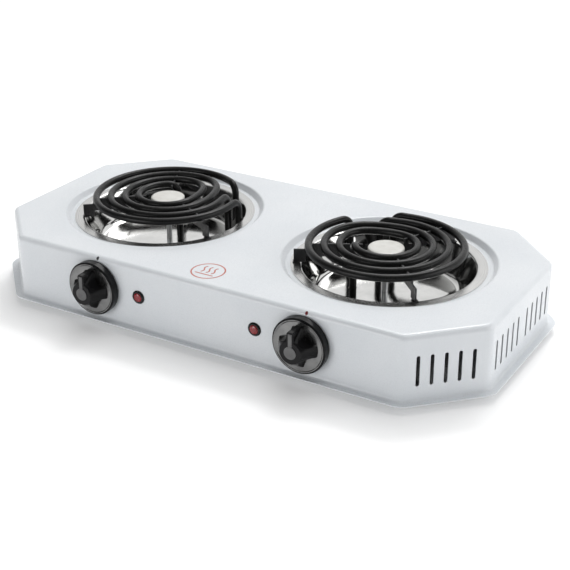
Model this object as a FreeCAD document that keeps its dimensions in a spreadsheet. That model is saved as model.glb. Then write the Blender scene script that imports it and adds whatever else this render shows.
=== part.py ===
import FreeCAD, Part
import math
import os
import re
import Sketcher
from FreeCAD import Placement, Rotation, Vector

# A free-standing electric hot plate with two open spiral elements.
#
# Frame: millimetres, +X to the right, -Y towards the user, +Z up. The origin is at the bottom
# centre of the whole object's box, so the rubber feet stand on z = 0.
#
# Every size below is a cell of the sheet. DERIVED gives names to sizes worked out from those
# cells, and every formula in this file may use either kind of name.

DIMENSIONS = {
    # pressed top panel
    "wall_length": 480,
    "wall_depth": 237.4,
    "corner_cut": 51,
    "corner_radius": 12,
    "panel_height": 57.9,
    "panel_sheet": 0.8,
    "edge_radius": 4.8,
    "fit_gap": 0.05,
    "flange_width": 7,
    "root_radius": 2.4,
    "foot_height": 7,
    # burner recesses
    "burner_x": 116.7,
    "burner_y": 4,
    "recess_radius": 93,
    "recess_drop": 4.8,
    "recess_run": 5,
    "ledge_hole_radius": 79,
    "recess_lap": 0.5,
    "recess_inset": 0.6,
    "recess_lip_radius": 2.2,
    "recess_foot_radius": 1.8,
    "ledge_bend_shift": 0.4,
    # vent slots
    "slot_width": 3.2,
    "slot_low": 13.3,
    "slot_high": 39.8,
    "corner_slot_pitch": 11.45,
    "end_slot_pitch": 11.4,
    "end_slot_group": 32.4,
    # drip bowls
    "bowl_sheet": 0.6,
    "bowl_rim_radius": 83.9,
    "bowl_mouth_radius": 75,
    "bowl_floor_radius": 62,
    "bowl_depth": 26.5,
    "bowl_corner_radius": 7,
    "bowl_lip_radius": 2.4,
    # spiral elements
    "tube_radius": 3.25,
    "coil_height": 70.2,
    "first_turn_radius": 26.5,
    "turn_pitch": 13.17,
    "coil_bend_radius": 9,
    "inner_tail": 9.2,
    "outer_tail": 8.6,
    "coil_shift_x": 2.4,
    "coil_shift_y": 1.3,
    "leg_length": 48.8,
    "bush_radius": 5.4,
    "bush_drop": 4,
    "leg_gap": 0.5,
    "pin_radius": 1.6,
    "pin_length": 10,
    "left_coil_turn": -93.5,
    # coil supports and centre discs
    "support_sheet": 1.4,
    "support_reach": 78.5,
    "sole_reach": 79.3,
    "sole_start": 74,
    "sole_width": 5,
    "sole_sheet": 1,
    "arm_rise": 12,
    "support_depth": 11,
    "hub_radius": 12,
    "arm_overlap": 1,
    "notch_gap": 0.1,
    "bend_notch_drop": 2,
    "medallion_radius": 15.6,
    "medallion_edge": 1.8,
    "medallion_round": 0.5,
    "medallion_drop": 0.4,
    "medallion_side": 1.1,
    "medallion_height": 68.7,
    "medallion_rise": 3,
    "medallion_sheet": 1.2,
    "medallion_wall": 0.9,
    "stud_radius": 2.5,
    "strap_width": 14,
    "strap_sheet": 1.2,
    "strap_reach": 82,
    "strap_hook": 5,
    "strap_nut_flats": 8,
    "strap_nut_height": 4,
    "stud_end": 8,
    "stud_head_height": 1.5,
    # controls
    "control_x": 103,
    "control_z": 30,
    "shaft_radius": 3,
    "skirt_radius": 24.2,
    "skirt_front": 8,
    "skirt_web": 1.8,
    "dial_recess": 0.8,
    "dial_margin": 1.5,
    "knob_front": 21,
    "grip_base_radius": 17.5,
    "grip_front_radius": 9.6,
    "flute_radius": 9.5,
    "flute_distance": 20,
    "pointer_width": 7,
    "pointer_reach": 18,
    "cap_radius": 5.4,
    "cap_sheet": 1.2,
    "cap_proud": 0.4,
    "cap_bar_sheet": 0.8,
    "cap_bar_low": 1,
    "cap_bar_short": 1.6,
    "grip_sink": 0.1,
    "grip_foot": 0.6,
    "grip_taper": 0.8,
    "grip_edge": 1.4,
    "pointer_nose": 1.4,
    "pointer_side": 0.4,
    "pointer_corner": 1.3,
    "pointer_extra": 0.3,
    "dial_proud": 0.3,
    "dial_sink": 0.2,
    "dial_ring_outer": 2.1,
    "dial_ring_inner": 2.9,
    "shaft_play": 0.02,
    "bore_end": 3,
    "shaft_end": 4,
    "clip_play": 0.03,
    "clip_width": 3,
    "clip_length": 8,
    "bush_reach": 4.4,
    "lens_back": 3,
    "lens_edge": 1.4,
    "lens_shoulder": 2.1,
    "lens_round": 0.6,
    "lens_dome": 2.6,
    "lens_front": 2.7,
    "lamp_tail": 3,
    "lamp_shoulder": 5.5,
    "lamp_tip": 4,
    "cap_bar_width": 3.4,
    "knob_gap": 1.2,
    "shaft_flat": 2,
    "shaft_inside": 20,
    "clip_sheet": 0.5,
    "bore_gap": 3.5,
    "bush_thread_radius": 4.8,
    "control_depth": 22,
    "control_hole_radius": 5.1,
    "pilot_hole_radius": 4.7,
    "control_width": 34,
    "control_height": 30,
    "control_plate_margin": 4,
    "control_plate_sheet": 1.2,
    "control_nut_flats": 13,
    "control_nut_height": 2.4,
    "tab_length": 8,
    "tab_height": 6.3,
    "tab_sheet": 0.8,
    "tab_pitch": 10,
    "tab_drop": 9,
    "pilot_x": 58,
    "bezel_radius": 6,
    "lens_radius": 4,
    "pilot_depth": 14,
    "bezel_front": 1.6,
    "bezel_wall": 0.6,
    "lamp_radius": 2.4,
    # underside and wiring
    "foot_x": 188,
    "foot_y": 84,
    "foot_radius": 9,
    "foot_well_radius": 4.2,
    "foot_screw_radius": 2,
    "foot_head_radius": 3.8,
    "foot_head_height": 2,
    "foot_nut_flats": 7,
    "foot_nut_height": 3,
    "foot_chamfer": 1.5,
    "base_slot_pitch": 12,
    "base_slot_length": 70,
    "base_slot_width": 4,
    "base_gap": 0.4,
    "base_screw_radius": 1.5,
    "base_screw_length": 7,
    "base_head_radius": 3,
    "base_head_height": 1.8,
    "screw_gap": 0.2,
    "bracket_x": 150,
    "bracket_width": 16,
    "bracket_foot": 14,
    "bracket_rise": 16,
    "bracket_sheet": 1.2,
    "block_length": 36,
    "block_width": 16,
    "block_height": 14,
    "block_inset": 26,
    "well_radius": 2.1,
    "well_depth": 8,
    "clamp_screw_length": 7,
    "gland_radius": 7.5,
    "gland_neck_radius": 5.95,
    "gland_tip_radius": 5,
    "gland_rise": 11,
    "gland_back": 4,
    "gland_front_lip": 2.5,
    "cord_hole_radius": 3.6,
    "cord_notch_width": 12,
    "cord_notch_top": 17,
    "cord_notch_low": -8,
    "gland_reach": 9.5,
    "lead_radius": 1.2,
    "lead_floor": 4,
    "earth_tab_gap": 24,
    "earth_tab_height": 11,
    "earth_tab_width": 6.3,
    "earth_tab_sheet": 0.8,
    "earth_tab_foot": 7,
}

# offset_shrink is how much each 45 degree corner cut shortens per millimetre that the outline grows.
DERIVED = {
    "housing_y": "(knob_front - gland_reach)/2",
    "half_length": "wall_length/2",
    "half_depth": "wall_depth/2",
    "offset_shrink": "2 - sqrt(2)",
    "panel_top": "foot_height + panel_height",
    "ledge_top": "panel_top - recess_drop",
    "ledge_radius": "recess_radius - recess_run",
    "rim_top": "ledge_top + bowl_sheet",
    "bowl_floor": "rim_top - bowl_depth",
    "coil_plane": "foot_height + coil_height",
    "outer_turn_radius": "first_turn_radius + 3*turn_pitch",
    "medallion_top": "foot_height + medallion_height",
    "front_face": "housing_y - half_depth",
    "knob_z": "foot_height + control_z",
    "dial_back": "skirt_front - dial_recess",
    "base_top": "foot_height + panel_sheet",
    "strap_top": "bowl_floor - bowl_sheet",
    "bowl_wall_shift": "0.62*bowl_sheet",
    "bush_low": "coil_plane - leg_length - bush_drop",
    "arm_low": "coil_plane - support_depth",
    "arm_start": "first_turn_radius - 2*tube_radius",
    "bracket_hole_y": "(half_depth - panel_sheet - bracket_foot/2)",
}

doc = FreeCAD.newDocument("hot_plate")
sheet = doc.addObject("Spreadsheet::Sheet", "Sheet")
for row, (alias, number) in enumerate(DIMENSIONS.items(), start=1):
    sheet.set("A%d" % row, alias)
    sheet.set("B%d" % row, str(number))
    sheet.setAlias("B%d" % row, alias)
doc.recompute()

NAME = re.compile(r"[a-z][a-z0-9_]*")
X_AXIS = Vector(1, 0, 0)
Y_AXIS = Vector(0, 1, 0)
Z_AXIS = Vector(0, 0, 1)
SIDES = {"left": -1, "right": 1}
finished = []


def formula(text):
    """Spell a size out in cells of the sheet."""
    def cell(match):
        word = match.group()
        if word in DIMENSIONS:
            return "Sheet." + word
        if word in DERIVED:
            return "(" + formula(DERIVED[word]) + ")"
        return word
    return NAME.sub(cell, str(text))


def value(text):
    """The number that a size formula comes to."""
    result = sheet.evalExpression(formula(text))
    return float(getattr(result, "Value", result))


def bind(thing, **sizes):
    """Tie properties of a document object to the sheet."""
    for name, text in sizes.items():
        thing.setExpression(name, formula(text))
    return thing


def place(thing, x="0", y="0", z="0", axis=Z_AXIS, angle=0):
    """Put an object at formula coordinates, turned about an axis."""
    thing.Placement = Placement(Vector(value(x), value(y), value(z)), Rotation(axis, angle))
    for name, text in (("x", x), ("y", y), ("z", z)):
        thing.setExpression(".Placement.Base." + name, formula(text))
    return thing


def finish(thing, label):
    """Name a sub-part and put it on the list of what is written."""
    thing.Label = label
    finished.append(thing)
    return thing


# ---- primitives and booleans ----

def box(name, length, width, height, x="0", y="0", z="0", axis=Z_AXIS, angle=0):
    """A box centred on its length and width, standing on z, before it is turned."""
    thing = bind(doc.addObject("Part::Box", name), Length=length, Width=width, Height=height)
    corner = "-(%s)/2" % length, "-(%s)/2" % width
    local = Placement(Vector(value(corner[0]), value(corner[1]), 0), Rotation())
    thing.Placement = Placement(Vector(value(x), value(y), value(z)), Rotation(axis, angle)) * local
    return thing


def cylinder(name, radius, height, x="0", y="0", z="0", axis=Z_AXIS, angle=0):
    thing = bind(doc.addObject("Part::Cylinder", name), Radius=radius, Height=height)
    return place(thing, x, y, z, axis, angle)


def torus(name, radius, section, z="0"):
    thing = bind(doc.addObject("Part::Torus", name), Radius1=radius, Radius2=section)
    return place(thing, z=z)


def fuse(name, *shapes):
    thing = doc.addObject("Part::MultiFuse", name)
    thing.Shapes = list(shapes)
    thing.Refine = True
    return thing


def cut(name, base, *tools):
    thing = doc.addObject("Part::Cut", name)
    thing.Base = base
    thing.Tool = tools[0] if len(tools) == 1 else fuse(name + "_tools", *tools)
    return thing


def group(label, pieces):
    """Loose pieces in one node, each a solid of its own."""
    thing = doc.addObject("Part::Compound", label)
    thing.Links = list(pieces)
    return finish(thing, label)


def prism_nut(name, across_flats, height, bore, **where):
    """A hexagon nut."""
    hexagon = bind(doc.addObject("Part::Prism", name + "_hexagon"), Height=height)
    hexagon.Polygon = 6
    bind(hexagon, Circumradius="(%s)/sqrt(3)" % across_flats)
    hole = cylinder(name + "_bore", bore, height)
    nut = cut(name, hexagon, hole)
    return place(nut, **where)


# ---- sketches ----

def origin_plane(body, role):
    return next(part for part in body.Origin.OriginFeatures if part.Role == role)


def new_body(name):
    return doc.addObject("PartDesign::Body", name)


def new_sketch(body, name, role="XY_Plane", x="0", y="0", lift="0", turn=Rotation()):
    """A sketch on one of the body's own planes, offset in that plane's directions."""
    sketch = body.newObject("Sketcher::SketchObject", name)
    sketch.AttachmentSupport = [(origin_plane(body, role), "")]
    sketch.MapMode = "FlatFace"
    sketch.AttachmentOffset = Placement(Vector(value(x), value(y), value(lift)), turn)
    for axis, text in (("x", x), ("y", y), ("z", lift)):
        sketch.setExpression(".AttachmentOffset.Base." + axis, formula(text))
    return sketch


def fix_point(sketch, geometry, corner, x, y):
    """Hold one end of a sketch line at formula coordinates."""
    for kind, text, axis in (("DistanceX", x, -2), ("DistanceY", y, -1)):
        if abs(value(text)) < 1e-9:
            sketch.addConstraint(Sketcher.Constraint("PointOnObject", geometry, corner, axis))
        else:
            index = sketch.addConstraint(
                Sketcher.Constraint(kind, -1, 1, geometry, corner, value(text)))
            sketch.setExpression("Constraints[%d]" % index, formula(text))


def outline(sketch, points):
    """A closed outline of straight lines through formula points."""
    corners = [Vector(value(x), value(y), 0) for x, y in points]
    first = sketch.GeometryCount
    count = len(corners)
    for index, corner in enumerate(corners):
        sketch.addGeometry(Part.LineSegment(corner, corners[(index + 1) % count]), False)
    for index in range(count):
        following = first + (index + 1) % count
        sketch.addConstraint(Sketcher.Constraint("Coincident", first + index, 2, following, 1))
    for index, (x, y) in enumerate(points):
        fix_point(sketch, first + index, 1, x, y)


def circle(sketch, radius, x="0", y="0"):
    centre = Vector(value(x), value(y), 0)
    index = sketch.addGeometry(Part.Circle(centre, Z_AXIS, value(radius)), False)
    size = sketch.addConstraint(Sketcher.Constraint("Radius", index, value(radius)))
    sketch.setExpression("Constraints[%d]" % size, formula(radius))
    fix_point(sketch, index, 3, x, y)


def slot(sketch, x, low, high, width):
    """An upright slot with round ends."""
    half = value(width)/2
    bottom = Vector(value(x), value(low) + half, 0)
    top = Vector(value(x), value(high) - half, 0)
    side = Vector(half, 0, 0)
    first = sketch.addGeometry(Part.LineSegment(bottom + side, top + side), False)
    sketch.addGeometry(Part.ArcOfCircle(Part.Circle(top, Z_AXIS, half), 0, math.pi), False)
    sketch.addGeometry(Part.LineSegment(top - side, bottom - side), False)
    sketch.addGeometry(Part.ArcOfCircle(Part.Circle(bottom, Z_AXIS, half), math.pi, 2*math.pi), False)
    for line, line_end, arc, arc_end in ((0, 2, 1, 1), (2, 1, 1, 2), (2, 2, 3, 1), (0, 1, 3, 2)):
        sketch.addConstraint(
            Sketcher.Constraint("Tangent", first + line, line_end, first + arc, arc_end))
    fix_point(sketch, first + 1, 3, x, "%s - (%s)/2" % (high, width))
    fix_point(sketch, first + 3, 3, x, "%s + (%s)/2" % (low, width))
    size = sketch.addConstraint(Sketcher.Constraint("Radius", first + 1, half))
    sketch.setExpression("Constraints[%d]" % size, formula("(%s)/2" % width))


def pad(body, sketch, length, name):
    feature = body.newObject("PartDesign::Pad", name)
    feature.Profile = sketch
    return bind(feature, Length=length)


def pocket_through(body, sketch, length, name):
    """Cut evenly to both sides of the sketch."""
    feature = body.newObject("PartDesign::Pocket", name)
    feature.Profile = sketch
    feature.SideType = "Symmetric"
    return bind(feature, Length=length)


def revolve(body, sketch, name):
    """Turn a sketch once round its own upright axis."""
    feature = body.newObject("PartDesign::Revolution", name)
    feature.Profile = sketch
    feature.ReferenceAxis = (sketch, ["V_Axis"])
    feature.Angle = 360
    return feature


def round_edges(body, feature, radius, name, test):
    """Fillet those edges of a feature that pass a test."""
    doc.recompute()
    edges = ["Edge%d" % (number + 1) for number, edge in enumerate(feature.Shape.Edges) if test(edge)]
    fillet = body.newObject("PartDesign::Fillet", name)
    fillet.Base = (feature, edges)
    return bind(fillet, Radius=radius)


def mirror(body, originals, name, roles):
    """Repeat features across one or more of the body's own planes."""
    steps = []
    transform = body.newObject("PartDesign::MultiTransform", name)
    transform.Originals = originals
    for role in roles:
        step = body.newObject("PartDesign::Mirrored", name + "_" + role.lower())
        step.MirrorPlane = (origin_plane(body, role), [""])
        steps.append(step)
    transform.Transformations = steps
    body.Tip = transform
    return transform


def is_upright(edge):
    box_of_edge = edge.BoundBox
    return box_of_edge.ZLength > 0.01 and box_of_edge.XLength < 0.01 and box_of_edge.YLength < 0.01


def lies_at(edge, z):
    box_of_edge = edge.BoundBox
    return abs(box_of_edge.ZMin - z) < 0.01 and abs(box_of_edge.ZMax - z) < 0.01


def cut_corner_outline(sketch, grow):
    """The housing's outline with its four cut corners, moved outwards by a distance."""
    across = "half_length + (%s)" % grow
    deep = "half_depth + (%s)" % grow
    cut_off = "corner_cut + offset_shrink*(%s)" % grow
    corners = []
    for sign_x, sign_y in ((1, -1), (1, 1), (-1, 1), (-1, -1)):
        side = ("%d*(%s)" % (sign_x, across), "%d*(%s - (%s))" % (sign_y, deep, cut_off))
        end = ("%d*(%s - (%s))" % (sign_x, across, cut_off), "%d*(%s)" % (sign_y, deep))
        corners += [side, end] if sign_x == sign_y else [end, side]
    outline(sketch, corners)


# ---- housing ----

def rounded_block(body, name, grow, low, height, corner, edge):
    """A block with the housing's outline, its upright corners and top edge rounded."""
    sketch = new_sketch(body, name + "_outline", lift=low)
    cut_corner_outline(sketch, grow)
    block = pad(body, sketch, height, name)
    block = round_edges(body, block, corner, name + "_corners", is_upright)
    level = value("%s + %s" % (low, height))
    return round_edges(body, block, edge, name + "_top_edge", lambda item: lies_at(item, level))


def on_wall(edge):
    """True for an edge on the wall's foot, not on the flange's outer outline."""
    middle = edge.valueAt((edge.FirstParameter + edge.LastParameter)/2)
    within_ends = abs(middle.x) < value("half_length") + 0.1
    within_sides = abs(middle.y) < value("half_depth") + 0.1
    diagonal = value("half_length + half_depth - corner_cut") + 0.1
    return within_ends and within_sides and abs(middle.x) + abs(middle.y) < diagonal


def top_panel():
    """The pressed panel: walls, rolled flange, two stepped burner recesses, vents and openings."""
    inside = new_body("panel_inside")
    rounded_block(inside, "inside_block", "-panel_sheet", "foot_height - 1",
                  "panel_height - panel_sheet + 1", "corner_radius - panel_sheet",
                  "edge_radius - panel_sheet")

    body = new_body("top_panel")
    sheet_top = value("panel_top")
    rounded_block(body, "wall_block", "0", "foot_height", "panel_height", "corner_radius",
                  "edge_radius")
    rim = new_sketch(body, "flange_outline", lift="foot_height")
    cut_corner_outline(rim, "flange_width")
    flange = pad(body, rim, "panel_sheet", "flange")
    rounded = round_edges(body, flange, "corner_radius + flange_width", "flange_corners",
                          lambda edge: is_upright(edge) and edge.BoundBox.ZLength < 1)
    root = value("base_top")
    round_edges(body, rounded, "root_radius", "flange_root",
                lambda edge: lies_at(edge, root) and on_wall(edge))
    hollow = body.newObject("PartDesign::Boolean", "hollow")
    hollow.Type = "Cut"
    hollow.setObjects([inside])

    mouths = new_sketch(body, "burner_mouths", lift="panel_top")
    for side in (-1, 1):
        circle(mouths, "recess_radius", "%d*burner_x" % side, "burner_y")
    pocket_through(body, mouths, "4*panel_sheet", "burner_mouth_cuts")

    step = new_sketch(body, "recess_section", role="XZ_Plane", x="burner_x", lift="-burner_y")
    outline(step, [
        ("recess_radius + recess_lap", "panel_top"),
        ("recess_radius - recess_inset", "panel_top"),
        ("ledge_radius", "ledge_top"),
        ("ledge_hole_radius", "ledge_top"),
        ("ledge_hole_radius", "ledge_top - panel_sheet"),
        ("ledge_radius + ledge_bend_shift", "ledge_top - panel_sheet"),
        ("recess_radius + recess_lap", "panel_top - panel_sheet - recess_inset"),
    ])
    ring = revolve(body, step, "burner_recess")
    mirror(body, [ring], "both_recesses", ["YZ_Plane"])
    shaped = body.Tip
    lip = value("recess_radius - recess_inset")
    foot = value("ledge_radius")

    def ring_edge(edge, radius):
        return edge.Curve.TypeId == "Part::GeomCircle" and abs(edge.Curve.Radius - radius) < 0.01

    shaped = round_edges(body, shaped, "recess_lip_radius", "recess_lip",
                         lambda edge: ring_edge(edge, lip) and lies_at(edge, sheet_top))
    round_edges(body, shaped, "recess_foot_radius", "recess_foot",
                lambda edge: ring_edge(edge, foot))

    ends = new_sketch(body, "end_vents", role="YZ_Plane")
    for group_side in (-1, 1):
        for step_number in range(-2, 3):
            along = "%d*end_slot_group + %d*end_slot_pitch" % (group_side, step_number)
            slot(ends, along, "foot_height + slot_low", "foot_height + slot_high", "slot_width")
    pocket_through(body, ends, "wall_length + 4", "end_vent_cuts")

    corner = new_sketch(body, "corner_vents", role="XZ_Plane", x="half_length - corner_cut/2",
                        lift="half_depth - corner_cut/2", turn=Rotation(Y_AXIS, 45))
    for step_number in range(-2, 3):
        slot(corner, "%d*corner_slot_pitch" % step_number,
             "foot_height + slot_low", "foot_height + slot_high", "slot_width")
    vents = pocket_through(body, corner, "8", "corner_vent_cuts")
    mirror(body, [vents], "all_corner_vents", ["YZ_Plane", "XZ_Plane"])

    front = new_sketch(body, "front_holes", role="XZ_Plane", lift="half_depth")
    for side in (-1, 1):
        circle(front, "control_hole_radius", "%d*control_x" % side, "knob_z")
        circle(front, "pilot_hole_radius", "%d*pilot_x" % side, "knob_z")
    pocket_through(body, front, "8", "front_hole_cuts")

    notch = new_sketch(body, "cord_notch", role="XZ_Plane", lift="-half_depth - flange_width/2")
    slot(notch, "0", "cord_notch_low", "foot_height + cord_notch_top", "cord_notch_width")
    pocket_through(body, notch, "flange_width + 8", "cord_notch_cut")

    place(body, y="housing_y")
    return finish(body, "top_panel")


def turned(name, points):
    """A body turned about its own upright axis from (radius, height) formula points."""
    body = new_body(name)
    section = new_sketch(body, name + "_section", role="XZ_Plane")
    outline(section, points)
    revolve(body, section, name + "_turned")
    return body


def base_plate():
    """The flat bottom closing the panel, with vents under each burner."""
    body = new_body("base_plate")
    sketch = new_sketch(body, "base_outline", lift="foot_height")
    cut_corner_outline(sketch, "-panel_sheet - base_gap")
    plate = pad(body, sketch, "panel_sheet", "base_sheet")
    round_edges(body, plate, "corner_radius - panel_sheet - base_gap", "base_corners", is_upright)

    vents = new_sketch(body, "base_vents", lift="foot_height")
    for side in (-1, 1):
        for step_number in range(-4, 5):
            slot(vents, "%d*burner_x + %d*base_slot_pitch" % (side, step_number),
                 "-base_slot_length/2", "base_slot_length/2", "base_slot_width")
    pocket_through(body, vents, "4*panel_sheet", "base_vent_cuts")

    holes = new_sketch(body, "base_holes", lift="foot_height")
    for side_x in (-1, 1):
        for side_y in (-1, 1):
            circle(holes, "foot_screw_radius + screw_gap", "%d*foot_x" % side_x, "%d*foot_y" % side_y)
            circle(holes, "base_screw_radius + screw_gap", "%d*bracket_x" % side_x,
                   "%d*bracket_hole_y" % side_y)
    pocket_through(body, holes, "4*panel_sheet", "base_hole_cuts")
    place(body, y="housing_y")
    return finish(body, "base_plate")


def four_places(x, y):
    """The four mirrored places of an item on the base, with a name for each."""
    for depth_name, side_y in (("front", -1), ("rear", 1)):
        for side_name, side_x in SIDES.items():
            name = "%s_%s" % (depth_name, side_name)
            yield name, "%d*%s" % (side_x, x), "housing_y + %d*%s" % (side_y, y)


def feet():
    """Four rubber feet, each held by a screw and a nut."""
    screws = []
    nuts = []
    for name, x, y in four_places("foot_x", "foot_y"):
        foot = turned("foot_" + name, [
            ("foot_well_radius", "0"),
            ("foot_radius - foot_chamfer", "0"),
            ("foot_radius - 0.4*foot_chamfer", "foot_height/7"),
            ("foot_radius", "foot_height"),
            ("foot_screw_radius + screw_gap", "foot_height"),
            ("foot_screw_radius + screw_gap", "foot_height/2"),
            ("foot_well_radius", "foot_height/2"),
        ])
        finish(place(foot, x, y), "foot_" + name)
        head = cylinder("foot_screw_head_" + name, "foot_head_radius", "foot_head_height", x, y,
                        "foot_height/2 - foot_head_height")
        shank = cylinder("foot_screw_shank_" + name, "foot_screw_radius",
                         "foot_height/2 + 2*foot_nut_height", x, y, "(foot_height - foot_head_height)/2")
        screws.append(fuse("foot_screw_" + name, head, shank))
        nuts.append(prism_nut("foot_nut_" + name, "foot_nut_flats", "foot_nut_height",
                              "foot_screw_radius + fit_gap", x=x, y=y, z="base_top"))
    group("foot_screws", screws)
    group("foot_nuts", nuts)


def base_fixings():
    """Angle brackets welded inside the walls, and the screws that hold the base to them."""
    brackets = []
    screws = []
    for name, x, y in four_places("bracket_x", "bracket_hole_y"):
        outward = -1 if name.startswith("front") else 1
        wall_side = "%s + %d*(bracket_foot/2 - bracket_sheet/2)" % (y, outward)
        foot = box("bracket_foot_" + name, "bracket_width", "bracket_foot", "bracket_sheet",
                   x, y, "base_top")
        wall = box("bracket_wall_" + name, "bracket_width", "bracket_sheet", "bracket_rise",
                   x, wall_side, "base_top")
        hole = cylinder("bracket_hole_" + name, "base_screw_radius + fit_gap", "bracket_sheet + 2",
                        x, y, "base_top - 1")
        brackets.append(cut("bracket_" + name, fuse("bracket_angle_" + name, foot, wall), hole))
        head = cylinder("base_screw_head_" + name, "base_head_radius", "base_head_height", x, y,
                        "foot_height - base_head_height")
        shank = cylinder("base_screw_shank_" + name, "base_screw_radius", "base_screw_length", x, y,
                         "foot_height - base_head_height/2")
        screws.append(fuse("base_screw_" + name, head, shank))
    group("base_brackets", brackets)
    group("base_screws", screws)


# ---- burners ----

def burner_spot(side):
    """Where a burner's upright axis stands."""
    return {"x": "%d*burner_x" % side, "y": "housing_y + burner_y"}


def coil_spot(side):
    """Where a burner's elements, support and centre disc stand, a little off the bowl's axis."""
    return {"x": "%d*(burner_x - coil_shift_x)" % side,
            "y": "housing_y + burner_y + %d*coil_shift_y" % -side}


def polar(radius, degrees, z=0.0):
    turn = math.radians(degrees)
    return Vector(radius*math.cos(turn), radius*math.sin(turn), z)


def around(degrees):
    """The direction of travel, anticlockwise, at a place on a circle about the axis."""
    return polar(1, degrees + 90)


def tangent_arc(start, direction, end):
    """The arc that leaves one point in a given direction and ends at another."""
    chord = end - start
    towards = chord/chord.Length
    middle = start + (direction + towards)*(chord.Length/(2*(1 + direction.dot(towards))))
    return Part.Arc(start, middle, end).toShape()


def two_arcs(start, leaving, end, arriving):
    """Two arcs that join two points smoothly in given directions."""
    gap = end - start
    both = gap.dot(leaving + arriving)
    spread = 2*(1 - leaving.dot(arriving))
    reach = (math.sqrt(both*both + spread*gap.dot(gap)) - both)/spread
    joint = (start + leaving*reach + end - arriving*reach)*0.5
    return [tangent_arc(start, leaving, joint), tangent_arc(end, arriving*-1, joint)]


def turn_arcs(radius, first, last, z):
    """Round a circle from one angle to another, in arcs of at most a third of a turn."""
    count = math.ceil((last - first)/120)
    step = (last - first)/count
    return [tangent_arc(polar(radius, first + step*index, z), around(first + step*index),
                        polar(radius, first + step*(index + 1), z)) for index in range(count)]


def solid_tube(path, radius, start, direction):
    """A round solid along a path, checked against its section times its length."""
    wire = Part.Wire(Part.__sortEdges__(path))
    ring = Part.Wire(Part.makeCircle(radius, start, direction))
    solid = wire.makePipeShell([ring], True, False)
    expected = math.pi*radius*radius*wire.Length
    if not solid.isValid() or abs(solid.Volume/expected - 1) > 0.02:
        raise ValueError("tube volume %.1f, expected %.1f" % (solid.Volume, expected))
    return solid


def leg_place(radius, degrees, side, tail="0"):
    """Where a leg stands beyond the end of a turn: side -1 before its start, 1 past its end."""
    return polar(radius, degrees) + around(degrees)*(side*(value("coil_bend_radius") + value(tail)))


# Each element: the straight tail at its outer end, and its turns as (radius formula, first angle,
# last angle). A step to the next radius takes the quarter turn between two entries.
INNER_TURNS = [
    ("first_turn_radius", 217, 450),
    ("first_turn_radius + turn_pitch", 540, 810),
    ("first_turn_radius + 2*turn_pitch", 900, 1183),
]
OUTER_TURNS = [("outer_turn_radius", 152.6, 456)]
ELEMENTS = {"coil_inner": ("inner_tail", INNER_TURNS), "coil_outer": ("outer_tail", OUTER_TURNS)}
# The support's three arms: one opposite the legs and one to each side of them.
SUPPORT_ARMS = (66, 208.5, 314)


def element_legs(tail, turns):
    """The two places where an element's legs stand, about the coil's axis."""
    return [leg_place(value(turns[0][0]), turns[0][1], -1),
            leg_place(value(turns[-1][0]), turns[-1][2], 1, tail)]


def leg_places():
    """The four legs of a burner's two elements, about the coil's axis."""
    return [leg for element in ELEMENTS.values() for leg in element_legs(*element)]


def bent_end(foot, bottom, level, last_point, travel):
    """An upright leg, its bend, and a straight tail up to the first or last point of a turn."""
    bend = value("coil_bend_radius")
    up = Vector(0, 0, 1)
    high = foot + up*(level - bend)
    bend_end = foot - travel*bend + up*level
    path = [Part.LineSegment(foot + up*bottom, high).toShape(), tangent_arc(high, up, bend_end)]
    if (last_point - bend_end).Length > 1e-6:
        path.append(Part.LineSegment(bend_end, last_point).toShape())
    return path


def element_shape(tail, turns):
    """A tubular heating element: flat turns with both ends bent down into legs."""
    level = value("coil_plane")
    bottom = level - value("leg_length")
    start_foot, end_foot = element_legs(tail, turns)
    first_radius, first_angle, _ = turns[0]
    last_radius, _, last_angle = turns[-1]
    path = bent_end(start_foot, bottom, level, polar(value(first_radius), first_angle, level),
                    around(first_angle)*-1)
    for index, (radius, first, last) in enumerate(turns):
        size = value(radius)
        if index:
            before, _, left_at = turns[index - 1]
            path += two_arcs(polar(value(before), left_at, level), around(left_at),
                             polar(size, first, level), around(first))
        path += turn_arcs(size, first, last, level)
    path += bent_end(end_foot, bottom, level, polar(value(last_radius), last_angle, level),
                     around(last_angle))
    return solid_tube(path, value("tube_radius"), start_foot + Vector(0, 0, bottom), Z_AXIS)


def elements(name, spot, turn):
    for kind, element_parts in ELEMENTS.items():
        element = doc.addObject("Part::Feature", "%s_%s" % (kind, name))
        element.Shape = element_shape(*element_parts)
        finish(place(element, angle=turn, **spot), "%s_%s" % (kind, name))


def leg_fittings(name, spot, turn):
    """Ceramic bushes round the legs under the bowl, and the terminal pins below them."""
    bushes = []
    pins = []
    low = "coil_plane - leg_length"
    for index, leg in enumerate(leg_places()):
        tag = "%s_%d" % (name, index + 1)
        where = {"x": "%.4f" % leg.x, "y": "%.4f" % leg.y}
        outside = cylinder("bush_outside_" + tag, "bush_radius", "strap_top - bush_low",
                           z="bush_low", **where)
        seat = cylinder("bush_seat_" + tag, "tube_radius + fit_gap", "strap_top - bush_low",
                        z=low, **where)
        hole = cylinder("bush_hole_" + tag, "pin_radius + fit_gap", "bush_drop + 2",
                        z="bush_low - 1", **where)
        bushes.append(cut("bush_" + tag, outside, seat, hole))
        pins.append(cylinder("pin_" + tag, "pin_radius", "pin_length", z=low + " - pin_length", **where))
    place(group("coil_bushes_" + name, bushes), angle=turn, **spot)
    place(group("coil_pins_" + name, pins), angle=turn, **spot)


def coil_offset(side):
    """How far a coil stands off its bowl's axis, towards the middle of the panel."""
    return Vector(-side*value("coil_shift_x"), -side*value("coil_shift_y"), 0)


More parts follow.
